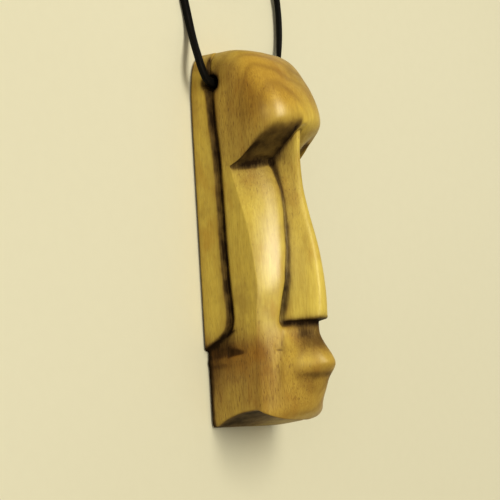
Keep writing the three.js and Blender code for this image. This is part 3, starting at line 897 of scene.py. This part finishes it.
# The sides are darker partly for the wood's own brown, and partly as painted shade.
side_tone_and_shade = curve(
    (0, 0.7), (8, 0.85), (14, 0.95), (19, 0.5), (26, 0.2), (38, 0.12), (50, 0.1), (57, 0.62),
    (HEIGHT, 0.75),
)
# On the front and over the nose, the wood is paler on the cheeks and on the brow's ridge partly as
# painted highlight.
front_tone_and_light = curve(
    (0, 0.5), (6, 0.55), (10, 0.62), (13, 0.4), (17, 0.35), (21, 0.05), (26, -0.18), (38, -0.18),
    (46, 0.08), (54, 0.5), (60, 0.3), (70, 0.5), (HEIGHT, 0.45),
)
nose_tone_and_light = curve(
    (0, 0.5), (10, 0.62), (12.5, 0.35), (17, 0.6), (21.3, 0.5), (21.5, -0.15), (30, -0.05), (42, 0.25),
    (52, 0.45), (60, 0.4), (64, 0.1), (70, 0.4), (HEIGHT, 0.45),
)


def tone_and_painted_light_at(places):
    """How brown the wood is, with painted light in it: 1 on the sides of forehead and jaw, below 0 where
    it is palest; the sides' darkness is partly painted shade, and the palest places are painted
    highlights.
    """
    x, v, z = split(places)
    side = rising(x, SIDE_HALF - 1.2, SIDE_HALF - 0.2)
    on_front = lerp(front_tone_and_light(v), nose_tone_and_light(v), falling(x, nose_half(v) - 0.4, nose_half(v) + 0.4))
    # Painted highlights on the brow's ridge, on the fold beside the mouth and on the lips' top.
    brow_highlight = 0.42 * bell(v, 65, 2.8) * rising(z, 17, 19.5)
    fold_and_lips_highlight = 0.4 * bell(v, 17.3, 2.2) * bell(x, 5.6, 1.3) + 0.35 * bell(v, 12.8, 1.0) * (x < 6)
    # Painted highlight on the nose's crown.
    crown = 0.35 * rising(z, nose_depth(v) - 0.9, nose_depth(v) - 0.1) * (v > NOSE_BOTTOM) * (v < 60)
    ear = falling(z, ear_depth(v) - 0.3, ear_depth(v) + 0.5) * rising(v, 17, 20)
    result = lerp(on_front, side_tone_and_shade(v), side)
    result = lerp(result, EAR_TAN, ear * rising(x, SIDE_HALF, SIDE_HALF + 0.4))
    patch = 0.5 * bell(x, 10.6, 1.3) * bell(v, 14.5, 3.2) + 0.2 * bell(x, 9.6, 1.2) * bell(v, 7, 7)
    return result - brow_highlight - fold_and_lips_highlight - crown + patch


def amber_at(places):
    """Where the wood has an orange tone: the forehead, and less so the mouth and the sides."""
    x, v, z = split(places)
    front = rising(z, 9, 15)
    paler = 1 - 0.55 * rising(places[:, 0], -5, 4)
    forehead = rising(v, 57, 70) * lerp(0.3, 0.85, front) * paler
    mouth = 0.45 * falling(v, 17, 22) * front
    patch = bell(x, 10.6, 1.4) * bell(v, 14.8, 2.6)
    return clamp01(np.maximum.reduce([forehead, mouth, patch]))


def polish_at(places):
    """Where handling has polished the wood: the brow, the cheeks, the lips and the nose."""
    x, v, z = split(places)
    brow = 0.6 * bell(v, 65.2, 1.8) * bell(x, 7.9, 2.6) * rising(z, 15, 18)
    cheek = bell(v, 34, 11) * bell(x, 7.4, 3.6) * rising(z, 12, 14)
    lip = 0.6 * bell(v, 13.2, 1.5) * rising(z, 18, 20)
    lip *= rising(x, 1.0, 3.0) * falling(x, 5, 8)
    nose = 0.22 * rising(z, nose_depth(v) - 1.5, nose_depth(v) - 0.5) * bell(v, 30, 14)
    return clamp01(np.maximum.reduce([brow, cheek, lip, nose]))


# Rounds in which each point moves a share of the way to its neighbours' mean.
SMOOTH_SHARE = 0.5
SMOOTH_ROUNDS = 2
EDGE_ROUNDS = 30
HOLLOW_ROUNDS = 12
BLUR_SHARE = 0.7
CRISP_ROUNDS = 2
SOFT_LAYER_ROUNDS = 40
HOLLOW_FULL = 0.10  # the depth that holds all the stain and painted shade it can, and the ridge that is fully worn
RIDGE_FULL = 0.08
FROM_CHIN = np.array([0, HEIGHT / 2, 0])  # turns a place into one with its height above the chin


def soft_edges(places):
    """Where the carving's edges were sanded round: the cheeks' and the brow's edges, and the nose's."""
    x, v, z = split(places)
    cheek = bell(x, SIDE_HALF, 1.3) * bell(z, cheek_edge(v), 2.2) * rising(v, 2, 6)
    cheek *= falling(v, 50, 54) * (0.45 + 0.55 * falling(v, 16, 24))
    ridge = bell(x, ridge_half(v), 1.1) * rising(z, nose_depth(v) - 1.6, nose_depth(v) - 0.6)
    ridge *= rising(v, NOSE_BOTTOM + 0.3, NOSE_BOTTOM + 1.2) * falling(v, 58, 60)
    brow = 0.9 * bell(v, brow_edge(z) + 0.4, 1.3) * rising(z, 9.5, 12)
    return clamp01(np.maximum.reduce([cheek, ridge, brow]))


def head():
    points, faces = head_surface()
    piece = mesh_object("carved_head", points, faces)
    drill(piece)
    places, edges, _ = mesh_arrays(piece)
    places = smoothed(places, edges, SMOOTH_ROUNDS, SMOOTH_SHARE)
    soft = soft_edges(places + FROM_CHIN)[:, None]
    set_places(piece, smoothed(places, edges, EDGE_ROUNDS, SMOOTH_SHARE * soft))
    places, edges, normals = mesh_arrays(piece)
    from_chin = places + FROM_CHIN
    in_bore = np.hypot(places[:, 1] - HOLE_HEIGHT, places[:, 2] - HOLE_DEPTH) < HOLE_RADIUS + 0.3
    move = carved_details(from_chin) * ~in_bore
    set_places(piece, places + move[:, None] * normals)
    places, edges, normals = mesh_arrays(piece)
    from_chin = places + FROM_CHIN
    # How far the surface round each point rises above it, in mm: over 0 in hollows.
    hollow = ((smoothed(places, edges, HOLLOW_ROUNDS, 1) - places) * normals).sum(axis=1)
    crisp, soft_layers = stain_and_painted_shade_at(from_chin, normals)
    soft_layers = smoothed(soft_layers[:, None], edges, SOFT_LAYER_ROUNDS, BLUR_SHARE)[:, 0]
    crisp = smoothed(crisp[:, None], edges, CRISP_ROUNDS, BLUR_SHARE)[:, 0]
    for name, values in {
        # Hollows are darkened as well: dark stain in them, and painted shade.
        "stain_and_shade": layered([crisp, soft_layers, 0.5 * clamp01(hollow / HOLLOW_FULL)]),
        "worn": clamp01(-hollow / RIDGE_FULL),
        "tan": np.clip(tone_and_painted_light_at(from_chin), TONE_AND_LIGHT_LOWEST, 1),
        "polish": polish_at(from_chin),
        "amber": amber_at(from_chin),
        "along": falling(np.abs(normals[:, 1]), 0.2, 0.6),  # 0 where the grain is cut across
    }.items():
        set_attribute(piece, name, values)
    piece.data.shade_smooth()
    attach(piece, "root")
    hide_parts("head")
    return piece


# ---- Floor and light ----

FLOOR_SIZE = 3000.0
FLOOR_GAP = 0.02


def stage():
    bpy.ops.mesh.primitive_plane_add(size=FLOOR_SIZE * MM, location=(0, 0, -FLOOR_GAP * MM))
    floor = bpy.context.object
    floor.name = "floor"
    return floor


def area_light(name, direction, distance, width, height, power, colour):
    data = bpy.data.lights.new(name, "AREA")
    data.energy = power
    data.shape = "RECTANGLE"
    data.size = width
    data.size_y = height
    data.color = colour
    light = bpy.data.objects.new(name, data)
    bpy.context.scene.collection.objects.link(light)
    towards = Vector(direction).normalized()
    light.location = towards * distance
    across = Vector((0, 1, 0)).cross(towards).normalized()
    turned = Matrix((across, towards.cross(across), towards)).transposed()
    light.rotation_mode = "QUATERNION"
    light.rotation_quaternion = turned.to_quaternion()


def lights():
    area_light("key", (-0.13, 0.33, 0.88), 1.2, 0.45, 0.95, 11.7, (1.0, 0.96, 0.83))
    area_light("fill", (-0.9, 0.1, 0.5), 1.4, 0.9, 0.9, 2.5, (1.0, 0.96, 0.86))
    world = bpy.data.worlds.new("room")
    world.use_nodes = True
    background = world.node_tree.nodes["Background"]
    background.inputs["Color"].default_value = (1.0, 0.95, 0.80, 1)
    background.inputs["Strength"].default_value = 0.325
    bpy.context.scene.world = world


# ---- Materials ----

class Nodes:
    """A material's node tree, built with short calls. Sockets are given by name."""

    def __init__(self, name):
        self.material = bpy.data.materials.new(name)
        self.material.use_nodes = True
        self.tree = self.material.node_tree
        self.shader = self.tree.nodes["Principled BSDF"]

    def add(self, kind, output=0, options=None, **inputs):
        node = self.tree.nodes.new(kind)
        for key, value in (options or {}).items():
            setattr(node, key, value)
        for key, value in inputs.items():
            self.feed(node, int(key[1:]) if key[1:].isdigit() else key.replace("_", " "), value)
        return node.outputs[output]

    def feed(self, node, socket, value):
        target = node.inputs[socket]
        if isinstance(value, bpy.types.NodeSocket):
            self.tree.links.new(value, target)
        else:
            target.default_value = (*value, 1) if target.type == "RGBA" else value

    def math(self, operation, a, b, c=0.0, clamp=False):
        options = {"operation": operation, "use_clamp": clamp}
        return self.add("ShaderNodeMath", options=options, _0=a, _1=b, _2=c)

    def times(self, a, b, clamp=False):
        return self.math("MULTIPLY", a, b, clamp=clamp)

    def attribute(self, name):
        return self.add("ShaderNodeAttribute", "Fac", {"attribute_name": name})

    def millimetres(self):
        """The piece's own coordinates, in millimetres."""
        coordinates = self.add("ShaderNodeTexCoord", "Object")
        return self.add(
            "ShaderNodeVectorMath", options={"operation": "SCALE"}, _0=coordinates, Scale=1 / MM
        )

    def grain(self, vector, scale, detail=3.0, roughness=0.55):
        """Noise with its own scale along each axis."""
        stretched = self.add("ShaderNodeMapping", Vector=vector, Scale=scale)
        return self.noise(stretched, 1.0, detail, roughness)

    def noise(self, vector, scale, detail=3.0, roughness=0.55):
        return self.add(
            "ShaderNodeTexNoise", "Fac", Vector=vector, Scale=scale, Detail=detail, Roughness=roughness
        )

    def range(self, value, low, high, to_low=0.0, to_high=1.0, kind="SMOOTHSTEP"):
        return self.add(
            "ShaderNodeMapRange", options={"interpolation_type": kind},
            _0=value, _1=low, _2=high, _3=to_low, _4=to_high,
        )

    def mix(self, share, a, b, blend="MIX"):
        options = {"data_type": "RGBA", "blend_type": blend, "clamp_factor": True}
        return self.add("ShaderNodeMix", 2, options, _0=share, _6=a, _7=b)

    def ramp(self, value, low, high, to_low, to_high):
        return self.range(value, low, high, to_low, to_high, "LINEAR")

    def bump(self, height, distance, strength):
        return self.add("ShaderNodeBump", "Normal", Height=height, Distance=distance, Strength=strength)

    def set(self, **inputs):
        for key, value in inputs.items():
            self.feed(self.shader, key.replace("_", " "), value)
        return self.material


TONE_AND_LIGHT_LOWEST = -0.3
WOOD_TAN_AND_SHADE = (0.56, 0.455, 0.56)
WOOD_AMBER = (0.95, 0.76, 0.45)
WOOD_LIGHT = (0.66, 0.495, 0.085)
WOOD_MIDDLE = (0.535, 0.37, 0.055)
WOOD_BROWN = (0.25, 0.14, 0.028)
WOOD_ORANGE = (0.50, 0.28, 0.032)
# The two colours below darken the wood where the stain attribute is: for dark stain, and for painted
# shade.
WOOD_WASH_AND_SHADE = (0.40, 0.34, 0.42)
WOOD_STAIN_AND_SHADE = (0.018, 0.0095, 0.004)
# The tree's heart, as a line along Y beside the head: the rings run round it.
HEART_X = 8.5
HEART_Z = -12.0
RING_WIDTH = 1.25


def wood():
    n = Nodes("carved_wood")
    place = n.millimetres()
    # Growth rings: distance from the heart, wavering along the trunk.
    drift = n.grain(place, (0.11, 0.045, 0.11), 2.0)
    waver = n.grain(place, (0.4, 0.1, 0.4), 2.0)
    flat = n.add(
        "ShaderNodeMapping", Vector=place, Location=(-HEART_X, 0.0, -HEART_Z), Scale=(1.0, 0.0, 1.0)
    )
    radius = n.add("ShaderNodeVectorMath", 1, {"operation": "LENGTH"}, _0=flat)
    radius = n.math("MULTIPLY_ADD", drift, 3.0, radius)
    radius = n.math("MULTIPLY_ADD", waver, 0.9, radius)
    ring = n.math("PINGPONG", n.math("DIVIDE", radius, RING_WIDTH), 1.0)
    late = n.range(ring, 0.35, 1.0)
    # Fibres: fine streaks along the grain, and open pores as short dark dashes.
    fibre = n.grain(place, (2.6, 0.22, 2.6), 4.0, 0.62)
    fine = n.grain(place, (7.0, 0.7, 7.0), 2.0)
    pore_field = n.grain(place, (4.2, 0.62, 4.2), 1.0)
    along = n.attribute("along")
    pores = n.times(n.range(pore_field, 0.655, 0.72), along)
    cloud = n.noise(place, 0.13, 3.0)
    patch = n.grain(place, (0.22, 0.12, 0.22), 3.0)
    tone = n.mix(n.range(fibre, 0.25, 0.80), WOOD_LIGHT, WOOD_MIDDLE)
    rings = n.math("MULTIPLY_ADD", n.attribute("amber"), 0.32, 0.16)
    tone = n.mix(n.times(late, rings), tone, WOOD_BROWN)
    tone = n.mix(n.range(patch, 0.50, 0.74, 0.0, 0.55), tone, WOOD_ORANGE)
    tone = n.mix(n.range(cloud, 0.52, 0.75, 0.0, 0.45), tone, WOOD_BROWN)
    bare = n.range(n.attribute("tan"), -0.2, 0.8)
    streaks = n.times(n.range(fine, 0.45, 0.75), along)
    streaks = n.times(streaks, n.math("MULTIPLY_ADD", bare, 0.62, 0.1))
    tone = n.mix(streaks, tone, WOOD_BROWN)
    tone = n.mix(n.times(pores, n.math("MULTIPLY_ADD", bare, 0.8, 0.12)), tone, WOOD_BROWN)
    # Worn ridges are paler, and cuts keep a dark stain that is streaked along the grain; the same
    # darkening paints shade under overhangs, in hollows, in the hole and on the underside.
    tone = n.mix(n.times(n.attribute("worn"), 0.15), tone, WOOD_LIGHT)
    # The tone attribute darkens the wood for its own brown and for painted shade, and lightens it for
    # painted highlights.
    tan = n.math("ADD", n.attribute("tan"), n.range(patch, 0.3, 0.7, -0.12, 0.12))
    red, green, blue = (
        n.ramp(tan, TONE_AND_LIGHT_LOWEST, 1.0, 1 - TONE_AND_LIGHT_LOWEST * (1 - channel), channel) for channel in WOOD_TAN_AND_SHADE
    )
    deeper = n.add("ShaderNodeCombineColor", _0=red, _1=green, _2=blue)
    tone = n.mix(1.0, tone, deeper, "MULTIPLY")
    amber = n.mix(1.0, tone, WOOD_AMBER, "MULTIPLY")
    tone = n.mix(n.attribute("amber"), tone, amber)
    streak = n.math("MULTIPLY_ADD", n.range(fibre, 0.25, 0.75, -0.12, 0.14), along, 1.0)
    spots = n.range(n.noise(place, 0.4, 3.0), 0.3, 0.7, 0.88, 1.08)
    stain_and_shade = n.times(n.attribute("stain_and_shade"), n.times(streak, spots), clamp=True)
    wash_and_shade_tint = n.mix(1.0, tone, WOOD_WASH_AND_SHADE, "MULTIPLY")
    washed_and_shaded = n.mix(n.ramp(stain_and_shade, 0.0, 0.6, 0.0, 1.0), tone, wash_and_shade_tint)
    colour = n.mix(n.ramp(stain_and_shade, 0.3, 0.88, 0.0, 1.0), washed_and_shaded, WOOD_STAIN_AND_SHADE)
    rough = n.range(fibre, 0.3, 0.7, 0.36, 0.46)
    # Rougher and less glossy where the stain and the painted shade lie.
    rough = n.math("MULTIPLY_ADD", stain_and_shade, 0.3, rough)
    free_of_stain_and_shade = n.math("SUBTRACT", 1.0, stain_and_shade, clamp=True)
    gloss = n.times(free_of_stain_and_shade, n.math("MULTIPLY_ADD", n.attribute("polish"), 0.95, 0.01))
    shine = n.times(free_of_stain_and_shade, 0.3)
    height = n.math("MULTIPLY_ADD", fibre, 0.6, n.times(fine, 0.35))
    height = n.math("MULTIPLY_ADD", pores, -0.8, height)
    normal = n.bump(height, 0.05 * MM, 0.55)
    return n.set(
        Base_Color=colour, Roughness=rough, Normal=normal, Coat_Weight=gloss, Coat_Roughness=0.34,
        Specular_IOR_Level=shine, Specular_Tint=(1.0, 0.84, 0.42), Coat_IOR=1.72,
    )


def leather():
    n = Nodes("black_leather")
    place = n.millimetres()
    grain = n.noise(place, 5.5, 3.0, 0.6)
    creases = n.grain(place, (1.8, 1.8, 1.8), 4.0, 0.65)
    edge = n.range(n.attribute("edge"), 0.55, 1.0, 0.0, 0.6)
    rubbed = n.times(edge, n.range(creases, 0.42, 0.66))
    colour = n.mix(n.range(grain, 0.3, 0.7), (0.0015, 0.0014, 0.0012), (0.004, 0.0034, 0.0026))
    colour = n.mix(rubbed, colour, (0.014, 0.009, 0.005))
    rough = n.range(creases, 0.3, 0.7, 0.42, 0.62)
    height = n.math("MULTIPLY_ADD", grain, 0.5, creases)
    normal = n.bump(height, 0.08 * MM, 0.6)
    return n.set(Base_Color=colour, Roughness=rough, Normal=normal, Specular_IOR_Level=0.06)


def thread():
    n = Nodes("black_thread")
    place = n.millimetres()
    twist = n.add(
        "ShaderNodeTexWave", "Fac", {"bands_direction": "DIAGONAL"}, Vector=place, Scale=1.3,
        Distortion=0.6,
    )
    fuzz = n.noise(place, 9.0, 2.0)
    colour = n.mix(n.times(twist, fuzz), (0.004, 0.004, 0.004), (0.022, 0.020, 0.018))
    rough = n.range(fuzz, 0.3, 0.7, 0.5, 0.75)
    normal = n.bump(twist, 0.06 * MM, 0.7)
    return n.set(Base_Color=colour, Roughness=rough, Normal=normal)


def wall_paint():
    n = Nodes("pale_wall")
    place = n.millimetres()
    cloud = n.noise(place, 0.004, 2.0)
    mottle = n.noise(place, 0.35, 3.0)
    colour = n.mix(n.range(cloud, 0.3, 0.7), (0.765, 0.728, 0.545), (0.735, 0.695, 0.51))
    colour = n.mix(n.range(mottle, 0.3, 0.7, 0.0, 0.05), colour, (0.62, 0.58, 0.42))
    normal = n.bump(n.noise(place, 0.9, 3.0), 0.02 * MM, 0.3)
    return n.set(Base_Color=colour, Roughness=0.9, Normal=normal, Specular_IOR_Level=0.1)


def dress(piece, material):
    piece.data.materials.clear()
    piece.data.materials.append(material)


# ---- The scene ----

lace_piece, lace_path, lace_length = lace()
knot_piece = knot()
tie_piece = tie()
declare_lace(lace_piece)
for piece, node, slot in (
    (knot_piece, "neck_knot", "black_leather"),
    (tie_piece, "coil_tie", "black_thread"),
):
    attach(piece, "root")
    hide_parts(node)
head_piece = head()
floor = stage()
lights()
bpy.context.scene.view_settings.view_transform = "Standard"

leather_material = leather()
dress(head_piece, wood())
dress(lace_piece, leather_material)
dress(knot_piece, leather_material)
dress(tie_piece, thread())
dress(floor, wall_paint())
